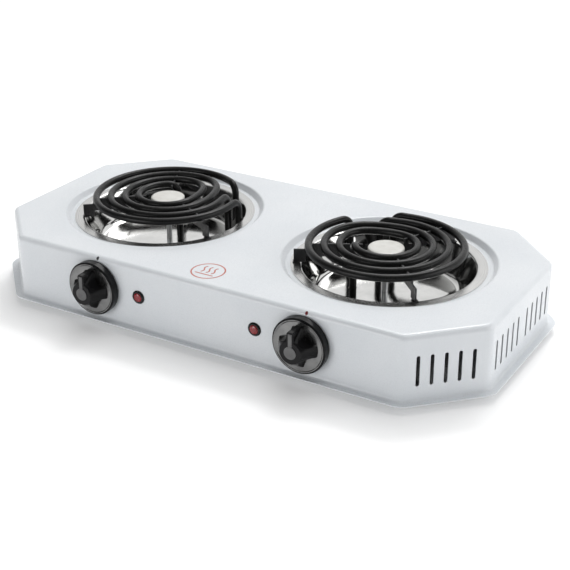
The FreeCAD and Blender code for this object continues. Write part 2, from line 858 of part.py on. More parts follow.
def drip_bowl(name, side, turn):
    """A polished reflector bowl hung by its rim, with holes for the legs and the centre stud."""
    body = turned("bowl_" + name, [
        ("bowl_rim_radius", "rim_top"),
        ("bowl_mouth_radius", "rim_top"),
        ("bowl_floor_radius", "bowl_floor"),
        ("0", "bowl_floor"),
        ("0", "bowl_floor - bowl_sheet"),
        ("bowl_floor_radius + bowl_wall_shift", "bowl_floor - bowl_sheet"),
        ("bowl_mouth_radius + bowl_wall_shift", "ledge_top"),
        ("bowl_rim_radius", "ledge_top"),
    ])
    shape = body.Tip
    bends = (
        ("bowl_floor_radius", "bowl_floor", "bowl_corner_radius"),
        ("bowl_floor_radius + bowl_wall_shift", "bowl_floor - bowl_sheet",
         "bowl_corner_radius + bowl_sheet"),
        ("bowl_mouth_radius", "rim_top", "bowl_lip_radius + bowl_sheet"),
        ("bowl_mouth_radius + bowl_wall_shift", "ledge_top", "bowl_lip_radius"),
    )
    for number, (radius, height, bend) in enumerate(bends):
        size = value(radius)
        level = value(height)
        shape = round_edges(
            body, shape, bend, "bowl_bend_%d_%s" % (number, name),
            lambda edge: lies_at(edge, level) and abs(edge.BoundBox.XMax - size) < 0.01)
    centre = coil_offset(side)
    turned_legs = [centre + Rotation(Z_AXIS, turn).multVec(leg) for leg in leg_places()]
    sizes = ["stud_radius + screw_gap"] + ["tube_radius + leg_gap"]*len(turned_legs)
    holes = [cylinder("bowl_hole_%s_%d" % (name, index), size, "bowl_depth + 12",
                      "%.4f" % spot.x, "%.4f" % spot.y, "bowl_floor - 10")
             for index, (size, spot) in enumerate(zip(sizes, [centre] + turned_legs))]
    bowl = cut("drip_bowl_" + name, body, *holes)
    finish(place(bowl, **burner_spot(side)), "drip_bowl_" + name)


def spoke(name, inner, outer, width, low, high, degrees):
    """A box lying along a spoke from the axis."""
    thing = doc.addObject("Part::Box", name)
    bind(thing, Length="%s - (%s)" % (outer, inner), Width=width, Height="%s - (%s)" % (high, low))
    local = Placement(Vector(value(inner), -value(width)/2, value(low)), Rotation())
    thing.Placement = Placement(Vector(), Rotation(Z_AXIS, degrees)) * local
    return thing


def coil_support(name, spot, turn):
    """Three notched upright arms on a hub, standing on the bowl's rim under the turns."""
    tall = "rim_top + arm_rise"
    pieces = [cylinder("hub_" + name, "hub_radius", "support_sheet",
                       z="medallion_top - medallion_rise - support_sheet")]
    for degrees in SUPPORT_ARMS:
        tag = "%s_%d" % (name, degrees)
        pieces += [
            spoke("arm_root_" + tag, "hub_radius/2", "arm_start + arm_overlap", "support_sheet",
                  "arm_low", "medallion_top - medallion_rise - support_sheet/2", degrees),
            spoke("arm_" + tag, "arm_start", "outer_turn_radius + tube_radius", "support_sheet",
                  "arm_low", "coil_plane + support_sheet/2", degrees),
            spoke("arm_end_" + tag, "outer_turn_radius + tube_radius - arm_overlap", "support_reach",
                  "support_sheet", "rim_top", tall, degrees),
            spoke("arm_sole_" + tag, "sole_start", "sole_reach", "sole_width", "rim_top",
                  "rim_top + sole_sheet", degrees),
        ]
    notches = [torus("notch_%s_%d" % (name, number),
                     "first_turn_radius + %d*turn_pitch" % number, "tube_radius + notch_gap",
                     "coil_plane") for number in range(4)]
    # The innermost notches are wider and deeper, because the inner leg's bend crosses one arm.
    notches += [torus("bend_notch_%s_%d" % (name, number), "first_turn_radius + leg_gap",
                      "tube_radius + leg_gap", "coil_plane - %d*bend_notch_drop" % number)
                for number in range(2)]
    notches.append(cylinder("hub_hole_" + name, "stud_radius + notch_gap", "2*support_depth",
                            z="arm_low"))
    support = cut("coil_support_" + name, fuse("support_arms_" + name, *pieces), *notches)
    finish(place(support, angle=turn, **spot), "coil_support_" + name)


def medallion(name, spot):
    """The pale pressed disc at the middle of the coil."""
    disc = turned("medallion_" + name, [
        ("0", "medallion_top"),
        ("medallion_radius - medallion_edge", "medallion_top"),
        ("medallion_radius - medallion_round", "medallion_top - medallion_drop"),
        ("medallion_radius", "medallion_top - medallion_side"),
        ("medallion_radius", "medallion_top - medallion_rise"),
        ("medallion_radius - medallion_wall", "medallion_top - medallion_rise"),
        ("medallion_radius - medallion_wall", "medallion_top - medallion_sheet"),
        ("0", "medallion_top - medallion_sheet"),
    ])
    finish(place(disc, **spot), "medallion_" + name)


def hold_down(name, side, turn):
    """The strap under a bowl, pulled up against the panel's ledge by the centre stud and nut."""
    pieces = [box("strap_bar_" + name, "2*strap_reach", "strap_width", "strap_sheet",
                  z="strap_top - strap_sheet")]
    for end, degrees in enumerate((0, 180)):
        tag = "%s_%d" % (name, end)
        pieces += [
            spoke("strap_riser_" + tag, "strap_reach - strap_sheet", "strap_reach", "strap_width",
                  "strap_top - strap_sheet", "ledge_top - panel_sheet", degrees),
            spoke("strap_hook_" + tag, "strap_reach - strap_sheet", "strap_reach + strap_hook",
                  "strap_width", "ledge_top - panel_sheet - strap_sheet",
                  "ledge_top - panel_sheet", degrees),
        ]
    lie = turn + 90
    centre = Rotation(Z_AXIS, -lie).multVec(coil_offset(side))
    hole = cylinder("strap_hole_" + name, "stud_radius + screw_gap", "10", "%.4f" % centre.x,
                    "%.4f" % centre.y, "strap_top - 5")
    strap = cut("bowl_strap_" + name, fuse("strap_bends_" + name, *pieces), hole)
    finish(place(strap, angle=lie, **burner_spot(side)), "bowl_strap_" + name)

    spot = coil_spot(side)
    head_low = "medallion_top - medallion_rise"
    stud = fuse("centre_stud_" + name,
                cylinder("stud_shank_" + name, "stud_radius",
                         head_low + " - strap_top + stud_end + stud_head_height/2",
                         z="strap_top - stud_end"),
                cylinder("stud_head_" + name, "2*stud_radius", "stud_head_height", z=head_low))
    finish(place(stud, **spot), "centre_stud_" + name)
    nut = prism_nut("strap_nut_" + name, "strap_nut_flats", "strap_nut_height",
                    "stud_radius + fit_gap", z="strap_top - strap_sheet - strap_nut_height", **spot)
    finish(nut, "strap_nut_" + name)


def burner(name, side):
    spot = coil_spot(side)
    coil_turn = value("left_coil_turn") if side < 0 else 0
    drip_bowl(name, side, coil_turn)
    elements(name, spot, coil_turn)
    leg_fittings(name, spot, coil_turn)
    coil_support(name, spot, coil_turn)
    medallion(name, spot)
    hold_down(name, side, coil_turn)


# ---- controls ----
# A control is drawn about its own axis, with z pointing out of the front wall and y up, and
# then turned so that z points along -Y.

def on_front(thing, x):
    return place(thing, x, "front_face", "knob_z", X_AXIS, 90)


def flat_sided(name, radius, low, high, flat):
    """A cylinder with one flat on its upper side."""
    length = "%s - (%s)" % (high, low)
    rod = cylinder(name + "_rod", radius, length, z=low)
    side = box(name + "_side", "4*(%s)" % radius, "2*(%s)" % radius, length,
               y="%s + %s" % (flat, radius), z=low)
    return cut(name, rod, side)


def knob(name, x):
    """The moulded knob with its polished dial, grey insert and leaf spring."""
    skirt = turned("skirt_" + name, [
        ("0", "dial_back - skirt_web"),
        ("skirt_radius - skirt_web", "dial_back - skirt_web"),
        ("skirt_radius - 0.7*skirt_web", "knob_gap"),
        ("skirt_radius", "knob_gap"),
        ("skirt_radius", "dial_back"),
        ("skirt_radius - dial_margin/2", "skirt_front"),
        ("skirt_radius - dial_margin", "skirt_front"),
        ("skirt_radius - dial_margin", "dial_back"),
        ("0", "dial_back"),
    ])
    grip = turned("grip_" + name, [
        ("0", "dial_back - grip_sink"),
        ("grip_base_radius", "dial_back - grip_sink"),
        ("grip_base_radius", "skirt_front + grip_foot"),
        ("grip_front_radius + grip_taper", "knob_front - grip_edge"),
        ("grip_front_radius", "knob_front - cap_proud"),
        ("0", "knob_front - cap_proud"),
    ])
    flute = new_sketch(grip, "flute_" + name, lift="skirt_front")
    for degrees in (45, 135, 225, 315):
        place_of_flute = polar(1, degrees)
        circle(flute, "flute_radius", "%.5f*flute_distance" % place_of_flute.x,
               "%.5f*flute_distance" % place_of_flute.y)
    pocket_through(grip, flute, "2*knob_front", "flutes_" + name)
    pointer = new_sketch(grip, "pointer_" + name, lift="dial_back - grip_sink")
    outline(pointer, [
        ("-pointer_width/2", "0"),
        ("pointer_width/2", "0"),
        ("pointer_width/2 - pointer_side", "pointer_reach - pointer_nose"),
        ("pointer_width/2 - pointer_corner", "pointer_reach"),
        ("-pointer_width/2 + pointer_corner", "pointer_reach"),
        ("-pointer_width/2 + pointer_side", "pointer_reach - pointer_nose"),
    ])
    pad(grip, pointer, "knob_front - skirt_front + pointer_extra", "pointer_rib_" + name)

    cap = fuse("cap_" + name,
               cylinder("cap_disc_" + name, "cap_radius", "cap_sheet",
                        z="knob_front - cap_sheet"),
               box("cap_bar_" + name, "cap_bar_width",
                   "pointer_reach - cap_bar_short - cap_radius/2", "cap_bar_sheet",
                   y="(pointer_reach - cap_bar_short + cap_radius/2)/2", z="knob_front - cap_bar_low"))
    bore = flat_sided("bore_" + name, "shaft_radius + shaft_play", "0", "knob_front - bore_end",
                      "shaft_flat + clip_sheet + 2*clip_play")
    moulding = cut("knob_" + name, fuse("knob_solid_" + name, skirt, grip), cap, bore)
    dial_disc = turned("dial_disc_" + name, [
        ("bore_gap", "dial_back"),
        ("skirt_radius - dial_margin", "dial_back"),
        ("skirt_radius - dial_margin", "skirt_front + dial_proud"),
        ("skirt_radius - dial_ring_outer", "skirt_front + dial_proud"),
        ("skirt_radius - dial_ring_inner", "skirt_front - dial_sink"),
        ("bore_gap", "skirt_front - dial_sink"),
    ])
    dial = cut("knob_dial_" + name, dial_disc, grip)
    clip = box("clip_blank_" + name, "clip_width", "clip_sheet", "clip_length",
               y="shaft_flat + clip_sheet/2 + clip_play", z="skirt_front")
    finish(on_front(moulding, x), "knob_" + name)
    finish(on_front(dial, x), "knob_dial_" + name)
    on_front(group("knob_cap_" + name, [cap]), x)
    on_front(group("knob_clip_" + name, [clip]), x)
    shaft = cut("control_shaft_" + name,
                cylinder("shaft_rod_" + name, "shaft_radius", "knob_front - shaft_end + shaft_inside",
                         z="-shaft_inside"),
                box("shaft_side_" + name, "4*shaft_radius", "2*shaft_radius", "knob_front",
                    y="shaft_flat + shaft_radius", z="dial_back - skirt_web"))
    finish(on_front(shaft, x), "control_shaft_" + name)


def control(name, x):
    """The power regulator behind the front wall, held by a nut on its threaded bush."""
    pieces = [
        box("control_plate_" + name, "control_width + control_plate_margin",
            "control_height + control_plate_margin/2", "control_plate_sheet",
            z="-panel_sheet - control_plate_sheet"),
        box("control_block_" + name, "control_width", "control_height", "control_depth",
            z="-panel_sheet - control_plate_sheet - control_depth"),
        cylinder("control_bush_" + name, "bush_thread_radius", "panel_sheet + bush_reach",
                 z="-panel_sheet - 1"),
    ]
    bore = cylinder("control_bore_" + name, "shaft_radius + fit_gap", "shaft_inside + 10",
                    z="-shaft_inside - 0.3")
    body = cut("control_body_" + name, fuse("control_solid_" + name, *pieces), bore)
    finish(on_front(body, x), "control_body_" + name)
    nut = prism_nut("control_nut_" + name, "control_nut_flats", "control_nut_height",
                    "bush_thread_radius + fit_gap")
    finish(on_front(nut, x), "control_nut_" + name)


def tab_place(side, number):
    """The centre of a regulator's blade terminal at the block's back face."""
    depth = value("front_face + panel_sheet + control_plate_sheet + control_depth")
    return Vector(side*value("control_x") + (number - 1)*value("tab_pitch"), depth,
                  value("knob_z - tab_drop"))


def control_tabs():
    """Blade terminals on the backs of both regulators."""
    tabs = []
    for name, side in SIDES.items():
        for number in range(3):
            spot = tab_place(side, number)
            tabs.append(box("tab_%s_%d" % (name, number + 1), "tab_sheet", "tab_length", "tab_height",
                            "%.4f" % spot.x, "%.4f + tab_length/2" % spot.y,
                            "%.4f - tab_height/2" % spot.z))
    group("control_tabs", tabs)


def pilot_light(name, x):
    """A small red lens in a black snap-in bezel, with a neon lamp behind it."""
    bezel = turned("pilot_bezel_" + name, [
        ("lens_radius + fit_gap", "-pilot_depth"),
        ("lens_radius + bezel_wall", "-pilot_depth"),
        ("lens_radius + bezel_wall", "0"),
        ("bezel_radius", "0"),
        ("bezel_radius", "bezel_front/2"),
        ("bezel_radius - bezel_front/2", "bezel_front"),
        ("lens_radius + fit_gap", "bezel_front"),
    ])
    finish(on_front(bezel, x), "pilot_bezel_" + name)
    lens = turned("pilot_lens_" + name, [
        ("0", "-lens_back"),
        ("lens_radius", "-lens_back"),
        ("lens_radius", "lens_edge"),
        ("lens_radius - lens_round", "lens_shoulder"),
        ("lens_radius/2", "lens_dome"),
        ("0", "lens_front"),
    ])
    finish(on_front(lens, x), "pilot_lens_" + name)
    lamp = turned("pilot_lamp_" + name, [
        ("0", "-pilot_depth - lamp_tail"),
        ("lamp_radius", "-pilot_depth - lamp_tail"),
        ("lamp_radius", "-lamp_shoulder"),
        ("lamp_radius/2", "-lamp_tip"),
        ("0", "-lamp_tip"),
    ])
    finish(on_front(lamp, x), "pilot_lamp_" + name)


# ---- supply and wiring ----

def cord_gland():
    """A rubber bush that snaps into the notch in the rear wall."""
    gland = turned("cord_gland", [
        ("cord_hole_radius", "-gland_back"),
        ("gland_radius", "-gland_back"),
        ("gland_radius", "-panel_sheet - fit_gap"),
        ("gland_neck_radius", "-panel_sheet - fit_gap"),
        ("gland_neck_radius", "fit_gap"),
        ("gland_radius", "fit_gap"),
        ("gland_radius", "gland_front_lip"),
        ("gland_tip_radius", "gland_reach"),
        ("cord_hole_radius", "gland_reach"),
    ])
    place(gland, "0", "housing_y + half_depth", "foot_height + gland_rise", X_AXIS, -90)
    return finish(gland, "cord_gland")


def terminal_block():
    """The mains terminal block on the base, with its clamping screws."""
    where = {"y": "housing_y + half_depth - block_inset"}
    block = box("block_solid", "block_length", "block_width", "block_height", z="base_top", **where)
    wells = []
    screws = []
    for number in (-1, 0, 1):
        x = "%d*block_length/3" % number
        low = "base_top + block_height - well_depth"
        wells.append(cylinder("well_%d" % (number + 2), "well_radius", "well_depth + 1", x=x, z=low,
                              **where))
        screws.append(cylinder("clamp_screw_%d" % (number + 2), "well_radius - fit_gap",
                               "clamp_screw_length", x=x, z=low, **where))
    finish(cut("terminal_block", block, *wells), "terminal_block")
    group("terminal_screws", screws)


def lead(name, points):
    """An insulated lead through chosen points, every corner rounded as widely as it allows."""
    runs = [after - before for before, after in zip(points, points[1:])]
    path = []
    reached = points[0]
    for index in range(1, len(points) - 1):
        before = runs[index - 1]
        after = runs[index]
        setback = 0.45*min(before.Length, after.Length)
        into = points[index] - before*(setback/before.Length)
        out = points[index] + after*(setback/after.Length)
        path.append(Part.LineSegment(reached, into).toShape())
        path.append(tangent_arc(into, before/before.Length, out))
        reached = out
    path.append(Part.LineSegment(reached, points[-1]).toShape())
    thing = doc.addObject("Part::Feature", name)
    thing.Shape = solid_tube(path, value("lead_radius"), points[0], runs[0]/runs[0].Length)
    return thing


def pin_end(side, number):
    """The lower end of one terminal pin."""
    leg = leg_places()[number]
    turn = value("left_coil_turn") if side < 0 else 0
    centre = Vector(value(coil_spot(side)["x"]), value(coil_spot(side)["y"]), 0)
    bottom = value("coil_plane - leg_length - pin_length")
    return centre + Rotation(Z_AXIS, turn).multVec(leg) + Vector(0, 0, bottom)


def wiring():
    """Leads from the terminal block to the regulators and on to the element pins."""
    floor = value("base_top + lead_floor")
    block_front = value("housing_y + half_depth - block_inset - block_width/2")
    tab_length = value("tab_length")
    groups = {"line_leads": [], "neutral_leads": []}
    for name, side in SIDES.items():
        def tab_end(number):
            return tab_place(side, number) + Vector(0, tab_length, 0)

        inner_tab = 0 if side > 0 else 2
        tab = tab_end(inner_tab)
        groups["line_leads"].append(lead("line_lead_" + name, [
            Vector(side*4, block_front, floor + 4),
            Vector(side*4, block_front - 12, floor + 4),
            Vector(side*7, block_front - 40, floor),
            Vector(side*10, 0, floor),
            Vector(side*34, -44, floor),
            Vector(tab.x - side*14, -62, floor + 4),
            Vector(tab.x, tab.y + 9, tab.z),
            tab,
        ]))
        leads = []
        for number, pin_number in ((1, 1), (2 - inner_tab, 3)):
            tab = tab_end(number)
            pin = pin_end(side, pin_number)
            middle = (tab + pin)*0.5
            leads.append(lead("element_lead_%s_%d" % (name, number), [
                tab,
                Vector(tab.x, tab.y + 9, tab.z),
                Vector(tab.x + side*2, tab.y + 20, floor + 2 + number),
                Vector(middle.x, middle.y, floor + number),
                Vector(pin.x, pin.y - 9, floor + number),
                Vector(pin.x, pin.y, floor + 3 + number),
                pin,
            ]))
        group("element_leads_" + name, leads)
        for number in (0, 2):
            pin = pin_end(side, number)
            groups["neutral_leads"].append(lead("neutral_lead_%s_%d" % (name, number), [
                Vector(side*(9 + 2*number), block_front, floor + 4),
                Vector(side*(9 + 2*number), block_front - 12, floor + 4),
                Vector(side*(13 + 2*number), block_front - 32, floor + 2),
                Vector((pin.x + side*10)/2, (pin.y + block_front - 32)/2, floor + number/2),
                Vector(pin.x - side*9, pin.y, floor + number/2),
                Vector(pin.x, pin.y, floor + 4),
                pin,
            ]))
    for label, pieces in groups.items():
        group(label, pieces)


def earth_tab_face():
    """The rear face of the earth tab's upright blade, measured along the body."""
    return value("housing_y + half_depth - block_inset - block_width/2 - earth_tab_gap")


def earth_tab():
    """An angled blade welded to the base plate, where the earth lead ends."""
    face = "%.4f" % earth_tab_face()
    blade = box("earth_blade", "earth_tab_width", "earth_tab_sheet", "earth_tab_height",
                y=face + " - earth_tab_sheet/2", z="base_top")
    foot = box("earth_foot", "earth_tab_width", "earth_tab_foot", "earth_tab_sheet",
               y=face + " - earth_tab_foot/2", z="base_top")
    return finish(fuse("earth_tab", blade, foot), "earth_tab")


def earth_lead():
    """The lead from the terminal block's middle pole to the earth tab, with a slight sag."""
    block_front = value("housing_y + half_depth - block_inset - block_width/2")
    height = value("base_top + 2*lead_floor")
    face = earth_tab_face()
    thing = lead("earth_lead", [
        Vector(0, block_front, height),
        Vector(0, block_front - 7, height),
        Vector(0, (block_front + face)/2, height - 2.5),
        Vector(0, face + 7, height),
        Vector(0, face, height),
    ])
    return finish(thing, "earth_lead")


def check_document():
    """Stop before writing if any object failed or any sub-part is empty or broken."""
    doc.recompute()
    for thing in doc.Objects:
        if {"Invalid", "Error"} & set(thing.State):
            raise ValueError("%s did not build: %s" % (thing.Label, thing.State))
    for thing in finished:
        if thing.Shape.isNull() or not thing.Shape.isValid() or not thing.Shape.Solids:
            raise ValueError("%s has no valid solid" % thing.Label)


def main():
    top_panel()
    base_plate()
    feet()
    base_fixings()
    for name, side in SIDES.items():
        burner(name, side)
        knob(name, "%d*control_x" % side)
        control(name, "%d*control_x" % side)
        pilot_light(name, "%d*pilot_x" % side)
    control_tabs()
    cord_gland()
    terminal_block()
    wiring()
    earth_tab()
    earth_lead()
    check_document()
    os.makedirs("parts", exist_ok=True)
    for thing in finished:
        thing.Shape.exportStep("parts/" + thing.Label + ".step")
        print("%-24s %3d solids %12.1f mm3" % (thing.Label, len(thing.Shape.Solids), thing.Shape.Volume))


main()
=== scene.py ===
import math

import bmesh
import bpy
from mathutils import Matrix, Vector


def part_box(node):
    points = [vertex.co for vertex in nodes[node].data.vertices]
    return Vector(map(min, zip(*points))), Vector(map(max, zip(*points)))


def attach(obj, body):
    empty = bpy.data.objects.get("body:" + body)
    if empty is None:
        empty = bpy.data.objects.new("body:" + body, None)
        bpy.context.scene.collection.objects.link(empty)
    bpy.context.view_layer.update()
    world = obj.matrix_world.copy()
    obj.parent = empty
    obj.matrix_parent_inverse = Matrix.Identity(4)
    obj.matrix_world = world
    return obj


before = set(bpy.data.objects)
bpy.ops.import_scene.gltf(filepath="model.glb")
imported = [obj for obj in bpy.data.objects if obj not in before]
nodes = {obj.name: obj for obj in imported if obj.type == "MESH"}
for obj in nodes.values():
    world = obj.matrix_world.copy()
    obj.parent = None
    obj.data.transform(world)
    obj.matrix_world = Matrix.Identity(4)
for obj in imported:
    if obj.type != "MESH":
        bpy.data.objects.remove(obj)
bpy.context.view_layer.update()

scene = bpy.context.scene
SIDES = {"left": -1, "right": 1}

PANEL_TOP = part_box("top_panel")[1].z
BURNER_AXIS = {name: (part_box("bowl_strap_" + name)[0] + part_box("bowl_strap_" + name)[1])/2 for name in SIDES}
# the regulator's nut stands on the front wall's outer face
FRONT_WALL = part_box("control_nut_left")[1].y
KNOB_AXIS = {name: (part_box("knob_" + name)[0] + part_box("knob_" + name)[1])/2 for name in SIDES}


# ---- small helpers for node materials ----

def new_material(name, **constants):
    """A material with constant values set straight on the Principled shader's sockets."""
    material = bpy.data.materials.new(name)
    material.use_nodes = True
    shader = material.node_tree.nodes["Principled BSDF"]
    for key, value in constants.items():
        shader.inputs[key.replace("_", " ")].default_value = value
    return material


def add(material, kind, inputs=None, **settings):
    """A new node with its settings and unlinked input values."""
    node = material.node_tree.nodes.new(kind)
    for key, value in settings.items():
        setattr(node, key, value)
    for key, value in (inputs or {}).items():
        node.inputs[key].default_value = value
    return node


def link(material, source, target):
    material.node_tree.links.new(source, target)


def into_shader(material, source, socket):
    link(material, source, material.node_tree.nodes["Principled BSDF"].inputs[socket])


def coordinates(material, centre=(0, 0, 0), stretch=(1, 1, 1)):
    """Object coordinates about a centre in the row frame, stretched along each axis."""
    texture = add(material, "ShaderNodeTexCoord")
    shift = add(material, "ShaderNodeVectorMath", operation="SUBTRACT")
    shift.inputs[1].default_value = centre
    scale = add(material, "ShaderNodeVectorMath", operation="MULTIPLY")
    scale.inputs[1].default_value = stretch
    link(material, texture.outputs["Object"], shift.inputs[0])
    link(material, shift.outputs["Vector"], scale.inputs[0])
    return scale.outputs["Vector"]


def noise(material, vector, scale, detail=3.0, roughness=0.5):
    node = add(material, "ShaderNodeTexNoise", {"Scale": scale, "Detail": detail, "Roughness": roughness})
    link(material, vector, node.inputs["Vector"])
    return node.outputs["Fac"]


def radius(material, vector):
    """The distance from the axis that the coordinates were flattened along."""
    node = add(material, "ShaderNodeVectorMath", operation="LENGTH")
    link(material, vector, node.inputs[0])
    return node.outputs["Value"]


def turned_grain(material, centre, flat_axis, scale):
    """Fine rings about an axis, as lathe work or circular brushing leaves them."""
    stretch = [1, 1, 1]
    stretch[flat_axis] = 0
    distance = radius(material, coordinates(material, centre, stretch))
    node = add(material, "ShaderNodeTexNoise", {"Scale": scale, "Detail": 2.0}, noise_dimensions="1D")
    link(material, distance, node.inputs["W"])
    return node.outputs["Fac"]


def remap(material, source, low, high, from_low=0.3, from_high=0.7):
    node = add(material, "ShaderNodeMapRange", {"From Min": from_low, "From Max": from_high,
                                                "To Min": low, "To Max": high})
    link(material, source, node.inputs["Value"])
    return node.outputs["Result"]


def mix(material, factor, first, second):
    """Two colours, either plain values or sockets, mixed by a factor."""
    node = add(material, "ShaderNodeMix", data_type="RGBA")
    link(material, factor, node.inputs[0])
    for index, colour in ((6, first), (7, second)):
        if hasattr(colour, "links"):
            link(material, colour, node.inputs[index])
        else:
            node.inputs[index].default_value = (*colour, 1)
    return node.outputs[2]


def bump(material, height, distance):
    node = add(material, "ShaderNodeBump", {"Strength": 1.0, "Distance": distance})
    link(material, height, node.inputs["Height"])
    return node.outputs["Normal"]


def grained(name, dark, light, rough_low, rough_high, scale, depth, **constants):
    """A plain finish with cloudy colour, uneven gloss and a fine relief."""
    material = new_material(name, **constants)
    vector = coordinates(material)
    clouds = noise(material, vector, scale/8, 4.0)
    grain = noise(material, vector, scale, 4.0, 0.6)
    into_shader(material, mix(material, remap(material, clouds, 0, 1), dark, light), "Base Color")
    into_shader(material, remap(material, grain, rough_low, rough_high), "Roughness")
    into_shader(material, bump(material, grain, depth), "Normal")
    return material


def dress(material, *names):
    """Puts a material on CAD nodes."""
    for name in names:
        data = nodes[name].data
        data.materials.clear()
        data.materials.append(material)


def both(*names):
    return [name + "_" + side for name in names for side in SIDES]


# ---- finishes ----

def white_enamel():
    """Glossy vitreous enamel: a faint orange-peel surface and a slightly cool white."""
    material = new_material("white_enamel", Coat_Weight=0.25, Coat_Roughness=0.1, IOR=1.45)
    vector = coordinates(material)
    clouds = noise(material, vector, 22, 3.0)
    peel = noise(material, vector, 420, 2.0)
    specks = noise(material, vector, 1600, 2.0)
    white = mix(material, remap(material, clouds, 0, 1), (0.675, 0.705, 0.735), (0.715, 0.74, 0.765))
    into_shader(material, white, "Base Color")
    into_shader(material, remap(material, specks, 0.24, 0.34), "Roughness")
    into_shader(material, bump(material, peel, 0.00004), "Normal")
    return material


def polished_bowl(name):
    """Mirror-polished sheet with faint spinning rings, duller on the flat rim."""
    material = new_material("polished_bowl_" + name, Metallic=1.0)
    centre = BURNER_AXIS[name]
    rings = turned_grain(material, centre, 2, 1500)
    clouds = noise(material, coordinates(material), 60, 3.0)
    mirror = mix(material, remap(material, clouds, 0, 1), (0.60, 0.60, 0.59), (0.70, 0.70, 0.69))
    satin = mix(material, remap(material, rings, 0, 1), (0.46, 0.46, 0.455), (0.60, 0.60, 0.59))
    across = coordinates(material, centre, (1, 1, 0))
    on_rim = remap(material, radius(material, across), 0, 1, 0.0735, 0.0765)
    into_shader(material, mix(material, on_rim, mirror, satin), "Base Color")
    gloss = add(material, "ShaderNodeMath", operation="ADD")
    link(material, remap(material, clouds, 0.04, 0.10), gloss.inputs[0])
    link(material, remap(material, on_rim, 0, 0.17, 0, 1), gloss.inputs[1])
    into_shader(material, gloss.outputs[0], "Roughness")
    into_shader(material, bump(material, rings, 0.000012), "Normal")
    return material


def element_sheath():
    """Dark oxidised sheath: nearly black, with a narrow satin shine and a fine scale."""
    material = new_material("element_sheath", IOR=1.3)
    vector = coordinates(material)
    clouds = noise(material, vector, 45, 4.0)
    scale_grain = noise(material, vector, 1400, 4.0, 0.65)
    black = mix(material, remap(material, clouds, 0, 1), (0.0045, 0.0048, 0.005), (0.009, 0.0088, 0.0085))
    into_shader(material, black, "Base Color")
    into_shader(material, remap(material, scale_grain, 0.24, 0.33), "Roughness")
    into_shader(material, bump(material, scale_grain, 0.00003), "Normal")
    return material


def support_black():
    return grained("support_black", (0.008, 0.008, 0.009), (0.015, 0.015, 0.016), 0.25, 0.4, 900, 0.00002)


def medallion_cream():
    """Warm white enamel on the little cap, a little discoloured in cloudy patches."""
    material = new_material("medallion_cream", Coat_Weight=0.2, Coat_Roughness=0.15)
    vector = coordinates(material)
    clouds = noise(material, vector, 130, 4.0)
    peel = noise(material, vector, 700, 2.0)
    cream = mix(material, remap(material, clouds, 0, 1), (0.60, 0.59, 0.55), (0.70, 0.695, 0.66))
    into_shader(material, cream, "Base Color")
    into_shader(material, remap(material, peel, 0.28, 0.4), "Roughness")
    into_shader(material, bump(material, peel, 0.00004), "Normal")
    return material


def ceramic_white():
    return grained("ceramic_white", (0.68, 0.65, 0.57), (0.78, 0.75, 0.68), 0.55, 0.75, 1200, 0.00005)


def plain_steel():
    return grained("plain_steel", (0.42, 0.43, 0.44), (0.56, 0.57, 0.58),
                   0.25, 0.42, 700, 0.00002, Metallic=1.0)


def brass_bright():
    return grained("brass_bright", (0.62, 0.47, 0.20), (0.74, 0.58, 0.28),
                   0.2, 0.35, 800, 0.00002, Metallic=1.0)


def knob_black():
    """Glossy black moulding with fine handling scratches."""
    return grained("knob_black", (0.005, 0.005, 0.0055), (0.009, 0.009, 0.0096),
                   0.1, 0.2, 500, 0.00001, IOR=1.25)


def dial_silver(name):
    """A turned and polished metal disc with fine concentric grain."""
    material = new_material("dial_silver_" + name, Metallic=1.0)
    rings = turned_grain(material, KNOB_AXIS[name], 1, 2600)
    clouds = noise(material, coordinates(material), 90, 3.0)
    silver = mix(material, remap(material, clouds, 0, 1), (0.165, 0.165, 0.166), (0.235, 0.235, 0.233))
    into_shader(material, silver, "Base Color")
    into_shader(material, remap(material, rings, 0.16, 0.26), "Roughness")
    into_shader(material, bump(material, rings, 0.00001), "Normal")
    return material


def insert_grey():
    return grained("insert_grey", (0.096, 0.096, 0.098), (0.139, 0.139, 0.138), 0.3, 0.42, 1000, 0.00002,
                   Metallic=0.6)


def regulator_brown():
    return grained("regulator_brown", (0.055, 0.024, 0.014), (0.085, 0.038, 0.021), 0.35, 0.55, 600, 0.00004)


def bezel_black():
    return grained("bezel_black", (0.003, 0.003, 0.0035), (0.007, 0.007, 0.0075),
                   0.14, 0.24, 700, 0.00001, IOR=1.35)


def lens_red():
    """Translucent red lens under a thin clear coat, deeper in colour in patches."""
    material = new_material("lens_red", Coat_Weight=0.3, Coat_Roughness=0.05, Subsurface_Weight=0.25,
                            Subsurface_Scale=0.002)
    vector = coordinates(material)
    clouds = noise(material, vector, 500, 3.0)
    red = mix(material, remap(material, clouds, 0, 1), (0.20, 0.006, 0.011), (0.29, 0.012, 0.018))
    into_shader(material, red, "Base Color")
    into_shader(material, remap(material, clouds, 0.12, 0.22), "Roughness")
    into_shader(material, bump(material, clouds, 0.00002), "Normal")
    return material


def lamp_glass():
    return grained("lamp_glass", (0.75, 0.62, 0.52), (0.85, 0.72, 0.62), 0.05, 0.12, 500, 0.00001,
                   Transmission_Weight=0.7)


def rubber_black():
    return grained("rubber_black", (0.014, 0.014, 0.014), (0.026, 0.026, 0.026), 0.65, 0.85, 900, 0.00004)


def lead_finish(name, dark, light):
    return grained(name, dark, light, 0.5, 0.65, 1500, 0.00003)


def print_red():
    return grained("print_red", (0.42, 0.10, 0.07), (0.52, 0.15, 0.11), 0.35, 0.5, 900, 0.00001)


def dot_red():
    return grained("dot_red", (0.10, 0.003, 0.005), (0.16, 0.006, 0.009), 0.3, 0.42, 900, 0.00001)


def dot_black():
    return grained("dot_black", (0.014, 0.014, 0.016), (0.024, 0.024, 0.026), 0.3, 0.42, 900, 0.00001)


